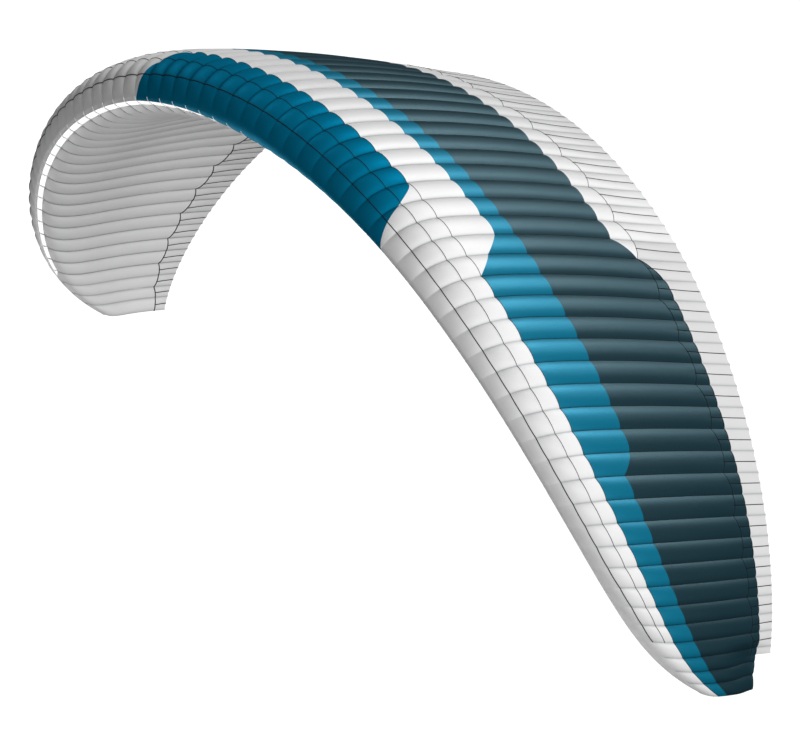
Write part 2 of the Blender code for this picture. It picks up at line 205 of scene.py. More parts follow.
def skin(rib, wrap, depth=0.0, swell=True):
    """Points of the canopy's outer surface, depth metres inside it."""
    rib, wrap = np.broadcast_arrays(np.asarray(rib, float), np.asarray(wrap, float))
    tip = span_share(rib)
    front = sum(w * tip ** p for p, w in LEADING.items())
    rear = ROOT_CHORD + sum(w * tip ** p for p, w in TRAILING.items())
    chord = rear - front
    aft, height = section_point(rib, wrap, chord)
    a0, h0 = section_point(rib, wrap - SLOPE_STEP, chord)
    a1, h1 = section_point(rib, wrap + SLOPE_STEP, chord)
    run = np.hypot(a1 - a0, h1 - h0)
    out = (swelling(rib, wrap) if swell else 0.0) - depth + mouth_shape(rib, wrap)
    aft = aft - (h1 - h0) / run * out
    height = height + (a1 - a0) / run * out
    turn = np.radians(sum(w * tip ** p for p, w in TWIST.items()))
    axis = TWIST_AXIS * chord
    y = front + axis + (aft - axis) * np.cos(turn) + height * np.sin(turn)
    up = -(aft - axis) * np.sin(turn) + height * np.cos(turn)
    slope = np.interp(tip, ARC_STEPS, ARC_SLOPE)
    side = np.where(rib <= CELLS / 2, 1.0, -1.0)
    x = side * (np.interp(tip, ARC_STEPS, ARC_X) + np.sin(slope) * up)
    z = np.interp(tip, ARC_STEPS, ARC_Z) + np.cos(slope) * up
    return np.stack((x, y, z), axis=-1) - ORIGIN


ORIGIN = np.zeros(3)
ORIGIN = skin(CELLS / 2, -math.sqrt(TWIST_AXIS))


# ---- seams, as wraps at each rib ----
def zigzag(rib):
    """0 at the even ribs, which carry lines, and 1 at the odd ones."""
    return 1 - np.abs(rib % 2 - 1)


def seam(column):
    at = SEAM_COLUMNS.index(column)
    return lambda rib: np.sqrt(looked_up(SEAMS, at, rib))


NOSE, BAND, STRIPE, SLATE = (seam(name) for name in SEAM_COLUMNS[1:5])


def STRIP(rib):
    aft = SEAM_ZIGZAG * zigzag(rib) * (from_tip(rib) > STRIP_ZIGZAG_FROM)
    return np.sqrt(looked_up(SEAMS, SEAM_COLUMNS.index("strip"), rib) + aft)


def tape_line(rib):
    """Tape along the nose; below it the cloth's painted crease shade and gathers fade out."""
    return np.sqrt(np.interp(from_tip(rib), (4, 6, 8, 12, 20, 33),
                             (.025, .022, .015, .012, .013, .016)))


def patch_edge(rib):
    """Slanting end of the middle nose patch: from the mouths up to the nose seam."""
    short = np.clip((PATCH_SHOULDER - from_tip(rib)) / (PATCH_SHOULDER - PATCH_CORNER), 0.0, 1.0)
    return nose_edge(rib) + (1 - short ** PATCH_BEND) * (NOSE(rib) - nose_edge(rib))


def lower_front(rib):
    """Front edge of the lower skin: the mouths' rear edge, or the nose panels at the tips."""
    opened = np.clip((from_tip(rib) - FIRST_MOUTH + MOUTH_OPENS) / MOUTH_OPENS, 0.0, 1.0)
    return nose_edge(rib) + opened * (lip_edge(rib) - nose_edge(rib))


def lower_seam(rib):
    """Dark seam of the lower skin; at the short tip it runs out to the slate's rear edge."""
    whole = np.clip(rib - SHORT_TIP, 0.0, 1.0)
    cut = SLATE(rib) ** 2
    return -np.sqrt(cut + whole * (LOWER_SEAM + SEAM_ZIGZAG * zigzag(rib) - cut))


def upper_end(rib):
    """Trailing edge: drawn forward a little between the ribs and mini ribs."""
    return 1 - TRAILING_SCALLOP * (1 - (2 * ((2 * rib) % 1.0) - 1) ** 2)


def lower_end(rib):
    return -upper_end(rib)


# ---- shader node groups ----
def link(tree, source, target):
    tree.links.new(source, target)


def new_group(name, inputs, outputs):
    tree = bpy.data.node_groups.new(name, "ShaderNodeTree")
    for kind, label, value in inputs:
        socket = tree.interface.new_socket(label, in_out="INPUT", socket_type=kind)
        if value is not None:
            socket.default_value = value
    for kind, label in outputs:
        tree.interface.new_socket(label, in_out="OUTPUT", socket_type=kind)
    return tree, tree.nodes.new("NodeGroupInput"), tree.nodes.new("NodeGroupOutput")


def math_node(tree, operation, first, second=None, third=None, clamp=False):
    node = tree.nodes.new("ShaderNodeMath")
    node.operation = operation
    node.use_clamp = clamp
    for socket, value in zip(node.inputs, (first, second, third)):
        if value is None:
            continue
        if isinstance(value, (int, float)):
            socket.default_value = value
        else:
            link(tree, value, socket)
    return node.outputs[0]


def ripstop_group():
    """Square grid of thicker threads over a plain weave, with slow changes of tone."""
    tree, start, end = new_group(
        "ripstop",
        (("NodeSocketVector", "Cloth Metres", None), ("NodeSocketFloat", "Grid", 0.006),
         ("NodeSocketFloat", "Weave", 0.0006)),
        (("NodeSocketFloat", "Height"), ("NodeSocketFloat", "Tone")))
    split = tree.nodes.new("ShaderNodeSeparateXYZ")
    link(tree, start.outputs["Cloth Metres"], split.inputs[0])
    ridges = []
    for axis in ("X", "Y"):
        steps = math_node(tree, "DIVIDE", split.outputs[axis], start.outputs["Grid"])
        saw = math_node(tree, "FRACT", steps)
        centred = math_node(tree, "ABSOLUTE", math_node(tree, "SUBTRACT", saw, 0.5))
        ridges.append(math_node(tree, "SMOOTH_MIN", math_node(tree, "MULTIPLY", math_node(
            tree, "SUBTRACT", 0.5, centred), 9.0), 1.0, 0.2))
    grid = math_node(tree, "SUBTRACT", 1.0, math_node(tree, "MULTIPLY", *ridges), clamp=True)
    threads = []
    for axis in ("X", "Y"):
        turns = math_node(tree, "DIVIDE", split.outputs[axis], start.outputs["Weave"])
        threads.append(math_node(tree, "SINE", math_node(tree, "MULTIPLY", turns, math.pi)))
    weave = math_node(tree, "MULTIPLY", *threads)
    height = math_node(tree, "MULTIPLY_ADD", weave, 0.12, math_node(tree, "MULTIPLY", grid, 0.6))
    link(tree, height, end.inputs["Height"])
    slow = tree.nodes.new("ShaderNodeTexNoise")
    slow.inputs["Scale"].default_value = 1.7
    slow.inputs["Detail"].default_value = 4.0
    link(tree, start.outputs["Cloth Metres"], slow.inputs["Vector"])
    tone = math_node(tree, "MULTIPLY_ADD", grid, 0.05, math_node(
        tree, "MULTIPLY_ADD", slow.outputs[0], 0.12, 0.91))
    link(tree, tone, end.inputs["Tone"])
    return tree


def gather_group():
    """Small gathers where the cloth is sewn to a rib, and a painted shade darkening the crease
    along the rib.
    """
    tree, start, end = new_group(
        "rib_gathers",
        (("NodeSocketVector", "Cloth Metres", None), ("NodeSocketFloat", "Rib Distance", 1.0),
         ("NodeSocketFloat", "Pitch", 0.045)),
        (("NodeSocketFloat", "Height"), ("NodeSocketFloat", "Painted Crease Shade")))
    split = tree.nodes.new("ShaderNodeSeparateXYZ")
    link(tree, start.outputs["Cloth Metres"], split.inputs[0])
    wander = tree.nodes.new("ShaderNodeTexNoise")
    wander.inputs["Scale"].default_value = 9.0
    wander.inputs["Detail"].default_value = 2.0
    link(tree, start.outputs["Cloth Metres"], wander.inputs["Vector"])
    turns = math_node(tree, "DIVIDE", split.outputs["Y"], start.outputs["Pitch"])
    turns = math_node(tree, "MULTIPLY_ADD", wander.outputs[0], 2.5, turns)
    wave = math_node(tree, "SINE", math_node(tree, "MULTIPLY", turns, 2 * math.pi))
    near = math_node(tree, "POWER", math.e, math_node(
        tree, "MULTIPLY", start.outputs["Rib Distance"], -42.0))
    link(tree, math_node(tree, "MULTIPLY", wave, near), end.inputs["Height"])
    crease = math_node(tree, "POWER", math.e, math_node(
        tree, "MULTIPLY", start.outputs["Rib Distance"], -150.0))
    link(tree, crease, end.inputs["Painted Crease Shade"])
    return tree


RIPSTOP = ripstop_group()
GATHERS = gather_group()


def cloth_material(name, colour, painted_crease_colour, index=1.5, shine_tint=(1.0, 1.0, 1.0),
                   roughness=0.5, painted_glow=0.0, metallic=0.0):
    """Coated ripstop cloth on the piece's own cloth coordinates, with painted shade in the creases
    along the ribs and near the mouths' edge, and optionally painted light given off by the cloth
    itself.
    """
    made = bpy.data.materials.new(name)
    made.use_nodes = True
    tree = made.node_tree
    shader = tree.nodes["Principled BSDF"]
    uv = tree.nodes.new("ShaderNodeUVMap")
    uv.uv_map = "cloth"
    distance = tree.nodes.new("ShaderNodeAttribute")
    distance.attribute_name = "rib_distance"
    weave = tree.nodes.new("ShaderNodeGroup")
    weave.node_tree = RIPSTOP
    gathers = tree.nodes.new("ShaderNodeGroup")
    gathers.node_tree = GATHERS
    link(tree, uv.outputs[0], weave.inputs["Cloth Metres"])
    link(tree, uv.outputs[0], gathers.inputs["Cloth Metres"])
    link(tree, distance.outputs["Fac"], gathers.inputs["Rib Distance"])
    # painted shade: the colour is mixed towards the painted crease colour near the ribs and near
    # the mouths' edge
    crease_shade_mix = tree.nodes.new("ShaderNodeMix")
    crease_shade_mix.data_type = "RGBA"
    crease_shade_mix.inputs["A"].default_value = (*colour, 1.0)
    crease_shade_mix.inputs["B"].default_value = (*painted_crease_colour, 1.0)
    link(tree, gathers.outputs["Painted Crease Shade"], crease_shade_mix.inputs["Factor"])
    toned = tree.nodes.new("ShaderNodeVectorMath")
    toned.operation = "SCALE"
    link(tree, crease_shade_mix.outputs["Result"], toned.inputs[0])
    link(tree, weave.outputs["Tone"], toned.inputs["Scale"])
    link(tree, toned.outputs[0], shader.inputs["Base Color"])
    height = math_node(tree, "MULTIPLY_ADD", gathers.outputs["Height"], 1.2,
                       weave.outputs["Height"])
    bump = tree.nodes.new("ShaderNodeBump")
    bump.inputs["Strength"].default_value = 0.5
    bump.inputs["Distance"].default_value = 0.0004
    link(tree, height, bump.inputs["Height"])
    link(tree, bump.outputs[0], shader.inputs["Normal"])
    rough = math_node(tree, "MULTIPLY_ADD", weave.outputs["Tone"], -0.6, roughness + 0.6)
    link(tree, rough, shader.inputs["Roughness"])
    shader.inputs["IOR"].default_value = index
    shader.inputs["Metallic"].default_value = metallic
    shader.inputs["Specular Tint"].default_value = (*shine_tint, 1.0)
    # painted light: the cloth gives off a little light of its own
    if painted_glow:
        shader.inputs["Emission Color"].default_value = (1.0, 1.0, 1.0, 1.0)
        shader.inputs["Emission Strength"].default_value = painted_glow
    return made


def thread_material(name, colour, roughness=0.7):
    """Twisted sewing thread, as lines of stitches a few millimetres long."""
    made = bpy.data.materials.new(name)
    made.use_nodes = True
    tree = made.node_tree
    shader = tree.nodes["Principled BSDF"]
    place = tree.nodes.new("ShaderNodeTexCoord")
    twist = tree.nodes.new("ShaderNodeTexNoise")
    twist.inputs["Scale"].default_value = 240.0
    link(tree, place.outputs["Object"], twist.inputs["Vector"])
    ramp = tree.nodes.new("ShaderNodeValToRGB")
    ramp.color_ramp.elements[0].color = (*[c * 0.7 for c in colour], 1.0)
    ramp.color_ramp.elements[1].color = (*[min(1.0, c * 1.4) for c in colour], 1.0)
    link(tree, twist.outputs[0], ramp.inputs[0])
    link(tree, ramp.outputs[0], shader.inputs["Base Color"])
    bump = tree.nodes.new("ShaderNodeBump")
    bump.inputs["Strength"].default_value = 0.4
    bump.inputs["Distance"].default_value = 0.0003
    link(tree, twist.outputs[0], bump.inputs["Height"])
    link(tree, bump.outputs[0], shader.inputs["Normal"])
    shader.inputs["Roughness"].default_value = roughness
    shader.inputs["Specular IOR Level"].default_value = 0.1
    return made


# the second colour of each cloth is the painted shade in its creases
CLOTHS = {
    "white": cloth_material("white_ripstop", (0.88, 0.88, 0.88), (0.46, 0.47, 0.48), 1.56),
    "teal": cloth_material("teal_ripstop", (0.001, 0.180, 0.325), (0.001, 0.075, 0.140),
                           1.05, (0.1, 0.9, 1.0), metallic=0.30),
    "blue": cloth_material("blue_ripstop", (0.001, 0.196, 0.328), (0.001, 0.082, 0.145),
                           1.56, (0.55, 1.0, 1.0), 0.47, metallic=0.38),
    "slate": cloth_material("slate_ripstop", (0.0014, 0.0150, 0.024), (0.001, 0.006, 0.009),
                            1.88, (0.42, 0.84, 1.0)),
    # the near strip is a darker copy of the white cloth: painted shade where the light falls off
    # towards the near tip
    "strip": cloth_material("strip_ripstop_painted_shade", (0.72, 0.72, 0.72), (0.40, 0.41, 0.42), 1.56),
    "lower": cloth_material("lower_ripstop", (0.82, 0.82, 0.82), (0.40, 0.40, 0.40), 1.58),
    # the ribs' cloth, also on the inside of every panel, gives off light: painted light that keeps
    # the mouths and the inside white
    "rib": cloth_material("rib_cloth", (0.80, 0.80, 0.80), (0.60, 0.60, 0.60), roughness=0.6,
                          painted_glow=0.35),
}
DARK_THREAD = thread_material("dark_thread", (0.008, 0.012, 0.015))
GREY_THREAD = thread_material("grey_thread", (0.13, 0.13, 0.135))


# ---- building cloth ----
def columns_between(first, last):
    return np.linspace(first, last, int(round((last - first) * STEPS)) + 1)


def make_mesh(name, points, faces, materials, face_slots=None, uvs=None, distance=None):
    mesh = bpy.data.meshes.new(name)
    mesh.from_pydata([tuple(p) for p in points], [], [tuple(f) for f in faces])
    for made in materials:
        mesh.materials.append(made)
    mesh.polygons.foreach_set("use_smooth", np.ones(len(mesh.polygons), bool))
    if face_slots is not None:
        mesh.polygons.foreach_set("material_index", np.asarray(face_slots, np.int32))
    if uvs is not None:
        corners = np.empty(len(mesh.loops), np.int32)
        mesh.loops.foreach_get("vertex_index", corners)
        layer = mesh.uv_layers.new(name="cloth")
        layer.data.foreach_set("uv", np.asarray(uvs, np.float32)[corners].ravel())
    if distance is not None:
        layer = mesh.attributes.new("rib_distance", "FLOAT", "POINT")
        layer.data.foreach_set("value", np.asarray(distance, np.float32))
    mesh.update()
    thing = bpy.data.objects.new(name, mesh)
    bpy.context.scene.collection.objects.link(thing)
    return thing


def mark_sharp(thing, sharp_vertex_pairs):
    """Sharp edges where the function of the two corner numbers says so."""
    mesh = thing.data
    ends = np.empty(2 * len(mesh.edges), np.int32)
    mesh.edges.foreach_get("vertices", ends)
    ends = ends.reshape(-1, 2)
    layer = mesh.attributes.get("sharp_edge") or mesh.attributes.new(
        "sharp_edge", "BOOLEAN", "EDGE")
    layer.data.foreach_set("value", sharp_vertex_pairs(ends[:, 0], ends[:, 1]))


def cloth_sheet(name, ribs, wraps, cloth, inner_cloth, thickness=CLOTH, depth=0.0,
                creased_half=False):
    """Closed sheet of cloth over a grid of places wraps[row][column]."""
    rows, columns = wraps.shape
    outer = skin(ribs[None, :], wraps, depth)
    inner = skin(ribs[None, :], wraps, depth + thickness)
    points = np.concatenate((outer.reshape(-1, 3), inner.reshape(-1, 3)))
    number = np.arange(rows * columns).reshape(rows, columns)
    a, b = number[:-1, :-1], number[1:, :-1]
    c, d = number[1:, 1:], number[:-1, 1:]
    top = np.stack((a, b, c, d), -1).reshape(-1, 4)
    under = top[:, ::-1] + rows * columns
    rim = np.concatenate((number[:, 0], number[-1, 1:], number[-2::-1, -1], number[0, -2:0:-1]))
    after = np.roll(rim, -1)
    walls = np.stack((after, rim, rim + rows * columns, after + rows * columns), -1)
    faces = np.concatenate((top, under, walls))
    slots = np.concatenate((np.zeros(len(top), int), np.ones(len(under), int),
                            np.zeros(len(walls), int)))
    run = np.linalg.norm(np.diff(outer, axis=0), axis=2)
    down = np.concatenate((np.zeros((1, columns)), np.cumsum(run, axis=0)))
    along = np.broadcast_to(np.interp(ribs, np.arange(CELLS + 1), ALONG), (rows, columns))
    uv = np.stack((along, down), -1).reshape(-1, 2)
    part_of_cell = ribs - np.floor(ribs)
    off = np.minimum(part_of_cell, 1 - part_of_cell)
    cell = np.clip(np.floor(ribs).astype(int), 0, CELLS - 1)
    # rib_distance sets the gathers and the painted crease shade; it is raised below the tape, which
    # takes that shade away, and lowered towards the mouths' edge, which paints shade there
    below_tape = np.clip((tape_line(ribs) - wraps) / SMOOTHED_OVER, 0.0, 1.0)
    distance = off * WIDTHS[cell] + SMOOTHED * below_tape
    # painted shade: the nose panels darken towards the mouths' edge
    mouth_edge_shade = (wraps - nose_edge(ribs)) * MOUTH_SHADE_RATE
    distance = np.where(wraps < lower_front(ribs), off * WIDTHS[cell],
                        np.minimum(distance, np.maximum(mouth_edge_shade, 0.0))).ravel()
    thing = make_mesh(name, points, faces, (cloth, inner_cloth), slots,
                      np.concatenate((uv, uv)), np.concatenate((distance, distance)))
    count = rows * columns
    on_rib = np.abs(ribs * (2 if creased_half else 1) - np.round(
        ribs * (2 if creased_half else 1))) < 1e-6

    def sharp(p, q):
        i, j = (p % count) // columns, (p % count) % columns
        k, m = (q % count) // columns, (q % count) % columns
        groove = (j == m) & on_rib[j]
        edge = ((j == m) & ((j == 0) | (j == columns - 1))) | (
            (i == k) & ((i == 0) | (i == rows - 1)))
        return groove | edge

    mark_sharp(thing, sharp)
    width = np.linalg.norm(np.diff(outer, axis=1), axis=2).sum(axis=1).max()
    length = down[-1].max()
    area = (np.linalg.norm(np.cross(outer[1:, 1:] - outer[:-1, :-1],
                                    outer[1:, :-1] - outer[:-1, 1:]), axis=2) / 2).sum()
    thing["flat"] = (float(width), float(length), float(area))
    return thing


def panel(name, first, last, front, rear, rows, colour):
    ribs = columns_between(first, last)
    low = front(ribs)
    high = np.maximum(rear(ribs), low + LEAST)
    wraps = low + (high - low) * np.linspace(0.0, 1.0, rows + 1)[:, None]
    creased = "strip_" in name        # mini ribs crease the strips' cells in the middle
    # inner faces take the ribs' cloth with its painted light
    return cloth_sheet(name + "_cloth", ribs, wraps, CLOTHS[colour], CLOTHS["rib"],
                       creased_half=creased)


PANELS = (  # node, first rib, last rib, front edge, rear edge, rows, cloth
    ("nose_patch_middle", PATCH_CORNER, CELLS - PATCH_CORNER, nose_edge, patch_edge, 18, "teal"),
    ("nose_near", 0, PATCH_SHOULDER, patch_edge, NOSE, 16, "white"),
    ("nose_far", CELLS - PATCH_SHOULDER, CELLS, patch_edge, NOSE, 16, "white"),
    ("band_middle", BAND_CORNER, CELLS - BAND_CORNER, NOSE, BAND, 6, "white"),
    ("stripe_near", 0, SPLIT_NEAR, BAND, STRIPE, 7, "blue"),
    ("stripe_middle", SPLIT_NEAR, SPLIT_FAR, BAND, STRIPE, 4, "blue"),
    ("stripe_far", SPLIT_FAR, CELLS, BAND, STRIPE, 7, "blue"),
    ("slate_near", 0, SPLIT_NEAR, STRIPE, SLATE, 16, "slate"),
    ("slate_middle", SPLIT_NEAR, SPLIT_FAR, STRIPE, SLATE, 12, "slate"),
    ("slate_far", SPLIT_FAR, CELLS, STRIPE, SLATE, 16, "slate"),
    ("aft_band_middle", AFT_CORNER, CELLS - AFT_CORNER, SLATE, STRIP, 3, "white"),
    # the near strip's darker cloth is painted shade
    ("strip_near", SHORT_TIP, SPLIT_NEAR, STRIP, upper_end, 6, "strip"),
    ("strip_middle", SPLIT_NEAR, SPLIT_FAR, STRIP, upper_end, 8, "white"),
    ("strip_far", SPLIT_FAR, CELLS, STRIP, upper_end, 6, "white"),
    ("lower_near", 0, SPLIT_NEAR, lower_seam, lower_front, 20, "lower"),
    ("lower_middle", SPLIT_NEAR, SPLIT_FAR, lower_seam, lower_front, 20, "lower"),
    ("lower_far", SPLIT_FAR, CELLS, lower_seam, lower_front, 20, "lower"),
    ("lower_strip_near", SHORT_TIP, SPLIT_NEAR, lower_end, lower_seam, 6, "lower"),
    ("lower_strip_middle", SPLIT_NEAR, SPLIT_FAR, lower_end, lower_seam, 6, "lower"),
    ("lower_strip_far", SPLIT_FAR, CELLS, lower_end, lower_seam, 6, "lower"),
)


def finish_sheet(piece, nodes):
    del piece["flat"]
    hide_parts(*nodes)
    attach(piece, "root")


for node, first, last, front, rear, rows, colour in PANELS:
    piece = panel(node, first, last, front, rear, rows, colour)
    finish_sheet(piece, [node])


# ---- folded noses of the ribs, across the mouths ----
NOSE_HALF = 0.006         # half width of a rib's folded nose
NOSE_PROUD = 0.0003       # how far it stands proud of the rib


def joined(name, things):
    with bpy.context.temp_override(active_object=things[0], selected_editable_objects=things,
                                   selected_objects=things):
        bpy.ops.object.join()
    things[0].name = name
    things[0].data.name = name
    return things[0]


def rib_nose(rib):
    """Folded cloth of a rib's nose across the mouth, as a narrow closed strip."""
    spread = NOSE_HALF / WIDTHS[min(int(rib), CELLS - 1)]
    low, high = max(rib - spread, FIRST_MOUTH), min(rib + spread, LAST_MOUTH)
    ribs = np.array((low, rib, high)) if low < rib < high else np.array((low, high))
    wraps = np.linspace(lip_edge(rib), nose_edge(rib), 6)[:, None] + 0 * ribs
    return cloth_sheet("nose_%02d" % rib, ribs, wraps, CLOTHS["white"], CLOTHS["rib"],
                       0.002, -NOSE_PROUD)


noses = joined("rib_noses", [rib_nose(rib) for rib in range(FIRST_MOUTH, LAST_MOUTH + 1)])
del noses["flat"]
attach(noses, "root")


# ---- tips: a flat panel closes each end ----
TIP_DOME = 0.010          # height of the panel's crown
TIP_OUTER, TIP_INNER = 0.0018, 0.0004   # its two faces, off the end ribs' plane


def tip_panel(name, rib):
    """Closed flat panel between the upper and lower ends of the skins, slightly domed."""
    side = 1 if rib == 0 else -1
    slope = ARC_SLOPE[-1]
    outward = np.array((side * math.cos(slope), 0.0, -math.sin(slope)))
    end = math.sqrt(SEAMS[0][SEAM_COLUMNS.index("slate")]) if rib == 0 else 1.0
    wraps = np.linspace(0.0, end, 28)
    upper = skin(float(rib), wraps, 0.0, False)
    lower = skin(float(rib), -wraps, 0.0, False)
    across = np.linspace(0.0, 1.0, 9)[:, None, None]
    grid = lower + (upper - lower) * across
    share = (wraps / end)[None, :, None]
    dome = TIP_DOME * (4 * across * (1 - across)) * (4 * share * (1 - share)) * outward
    faces_out = grid + outward * TIP_OUTER + dome
    faces_in = grid + outward * TIP_INNER + dome
    rows, columns = faces_out.shape[:2]
    number = np.arange(rows * columns).reshape(rows, columns)
    quads = np.stack((number[:-1, 1:], number[1:, 1:], number[1:, :-1], number[:-1, :-1]),
                     -1).reshape(-1, 4)
    rim = np.concatenate((number[:, 0], number[-1, 1:], number[-2::-1, -1], number[0, -2:0:-1]))
    after = np.roll(rim, -1)
    walls = np.stack((rim, after, after + rows * columns, rim + rows * columns), -1)
    faces = np.concatenate((quads, quads[:, ::-1] + rows * columns, walls))
    if side < 0:
        faces = faces[:, ::-1]
    points = np.concatenate((faces_out.reshape(-1, 3), faces_in.reshape(-1, 3)))
    uv = np.concatenate([np.stack((faces_out[..., 1], faces_out[..., 2]), -1).reshape(-1, 2)] * 2)
    thing = make_mesh(name + "_cloth", points, faces, (CLOTHS["white"],), None, uv,
                      np.ones(len(points)))
    size = grid.reshape(-1, 3)
    chord = np.linalg.norm(size[-1] - size[0])
    area = (np.linalg.norm(np.cross(grid[1:, 1:] - grid[:-1, :-1],
                                    grid[1:, :-1] - grid[:-1, 1:]), axis=2) / 2).sum()
    depth = np.linalg.norm(upper - lower, axis=1).max() * 1.02
    thing["flat"] = (float(chord * 1.05), float(depth), float(area))
    return thing


for node, rib, beside in (("tip_near", 0, "rib_02"), ("tip_far", CELLS, "rib_64")):
    piece = tip_panel(node, rib)
    finish_sheet(piece, [node])


# ---- ribs ----
RIB_HALF = 0.0007         # half thickness of a rib
RIB_SLACK = 0.004         # how far a rib's edge lies inside the skins
RIB_NOSE = 0.02           # wrap either side of the leading edge at which its outline begins
RIB_LOWER_END, RIB_UPPER_END = 0.895, 0.88   # wraps at which it ends
FIRST_RIB_END = 0.84      # the first rib stands clear of the short tip's flat tail


def plate(name, ribs, wraps, slack):
    """Closed plates inside the skins at each of the ribs."""
    points, faces, uvs = [], [], []
    for rib in ribs:
        start = len(points)
        half = RIB_HALF / WIDTHS[min(int(rib), CELLS - 1)]
        for side in (-half, half):
            ring = skin(rib + side, wraps, slack, False)
            points += list(ring)
            uvs += [(p[1], p[2]) for p in ring]
        count = len(wraps)
        faces.append(list(reversed(range(start, start + count))))
        faces.append(list(range(start + count, start + 2 * count)))
        for i in range(count):
            j = (i + 1) % count
            faces.append([start + i, start + j, start + count + j, start + count + i])
    thing = make_mesh(name, points, faces, (CLOTHS["rib"],), None, uvs, np.ones(len(points)))
    thing.data.polygons.foreach_set("use_smooth", np.zeros(len(thing.data.polygons), bool))
    return thing


def rib_outline(lower_end_wrap, upper_end_wrap):
    return np.concatenate((np.linspace(-lower_end_wrap, -RIB_NOSE, 26),
                           np.linspace(RIB_NOSE, upper_end_wrap, 26)))


between = plate("ribs_between", [float(r) for r in range(5, CELLS - 4, 2)],
                rib_outline(RIB_LOWER_END, RIB_UPPER_END), RIB_SLACK)
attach(between, "root")
first_rib = plate("rib_02_cloth", [2.0], rib_outline(FIRST_RIB_END, FIRST_RIB_END), RIB_SLACK)
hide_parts("rib_02")
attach(first_rib, "root")
# the CAD ribs take the ribs' cloth with its painted light
for number in range(4, CELLS, 2):
    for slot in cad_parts["rib_%02d" % number].material_slots:
        slot.material = CLOTHS["rib"]


# ---- sewn lines: geometry nodes run a round thread along each guide ----
def thread_tree():
    tree = bpy.data.node_groups.new("sewn_line", "GeometryNodeTree")
    face = tree.interface
    face.new_socket("Guide", in_out="INPUT", socket_type="NodeSocketGeometry")
    face.new_socket("Half Width", in_out="INPUT",
                    socket_type="NodeSocketFloat").default_value = THREAD
    face.new_socket("Sides", in_out="INPUT", socket_type="NodeSocketInt").default_value = 4
    face.new_socket("Finish", in_out="INPUT", socket_type="NodeSocketMaterial")
    face.new_socket("Thread", in_out="OUTPUT", socket_type="NodeSocketGeometry")
    start, end = tree.nodes.new("NodeGroupInput"), tree.nodes.new("NodeGroupOutput")
    path = tree.nodes.new("GeometryNodeMeshToCurve")
    profile = tree.nodes.new("GeometryNodeCurvePrimitiveCircle")
    sweep = tree.nodes.new("GeometryNodeCurveToMesh")
    sweep.inputs["Fill Caps"].default_value = True
    smooth = tree.nodes.new("GeometryNodeSetShadeSmooth")
    real = tree.nodes.new("GeometryNodeRealizeInstances")
    paint = tree.nodes.new("GeometryNodeSetMaterial")
    link(tree, start.outputs["Guide"], path.inputs[0])
    link(tree, start.outputs["Sides"], profile.inputs["Resolution"])
    link(tree, start.outputs["Half Width"], profile.inputs["Radius"])
    link(tree, path.outputs[0], sweep.inputs["Curve"])
    link(tree, profile.outputs[0], sweep.inputs["Profile Curve"])
    link(tree, sweep.outputs[0], smooth.inputs[0])
    link(tree, smooth.outputs[0], real.inputs[0])
    link(tree, real.outputs[0], paint.inputs["Geometry"])
    link(tree, start.outputs["Finish"], paint.inputs["Material"])
    link(tree, paint.outputs[0], end.inputs["Thread"])
    return tree


THREAD_TREE = thread_tree()


def run_tree(name, tree, guides, values):
    """Runs a tree over polylines and keeps the result as a plain mesh at the origin."""
    points, edges = [], []
    for guide in guides:
        start = len(points)
        points += [tuple(p) for p in guide]
        edges += [(i, i + 1) for i in range(start, len(points) - 1)]
    mesh = bpy.data.meshes.new(name + "_guide")
    mesh.from_pydata(points, edges, [])
    guide = bpy.data.objects.new(name + "_guide", mesh)
    bpy.context.scene.collection.objects.link(guide)
    modifier = guide.modifiers.new("make", "NODES")
    modifier.node_group = tree
    sockets = {item.name: item.identifier for item in tree.interface.items_tree
               if item.item_type == "SOCKET" and item.in_out == "INPUT"}
    for label, value in values.items():
        modifier[sockets[label]] = value
    bpy.context.view_layer.update()
    graph = bpy.context.evaluated_depsgraph_get()
    made = bpy.data.meshes.new_from_object(guide.evaluated_get(graph), depsgraph=graph)
    bpy.data.objects.remove(guide, do_unlink=True)
    made.name = name
    thing = bpy.data.objects.new(name, made)
    bpy.context.scene.collection.objects.link(thing)
    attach(thing, "root")
    return thing


def along_rib(rib, low, high, count, lift=THREAD_LIFT):
    """Guide along one rib between two wraps."""
    return skin(float(rib), np.linspace(low, high, count), -lift, False)


def along_span(first, last, wrap_at, lift=THREAD_LIFT):
    """Guide along the span, over the cells' swell."""
    ribs = columns_between(first, last)
    return skin(ribs, wrap_at(ribs), -lift)


def second_line(rib):
    """Line of stitches between the nose's tape and its seam."""
    return np.sqrt(np.interp(from_tip(rib), (4, 6, 8, 10, 14, 20, 28),
                             (.078, .074, .065, .059, .056, .062, .058)))


def strip_line(rib):
    """Line of stitches where the mini ribs begin; it is the strips' seam in the middle."""
    return np.sqrt(UPPER_MINI_RIBS + SEAM_ZIGZAG * zigzag(rib))


def rib_lines(first, last, front, rear, count):
    """Guides along the ribs between two seams."""
    return [along_rib(r, float(front(r)), float(rear(r)), count) for r in range(first, last)]


def mini_rib_lines(start, end, first):
    """Guides along the middles of the cells, on the swollen cloth."""
    return [skin(r + 0.5, np.linspace(start, end, 14), -THREAD_LIFT)
            for r in range(first, CELLS)]


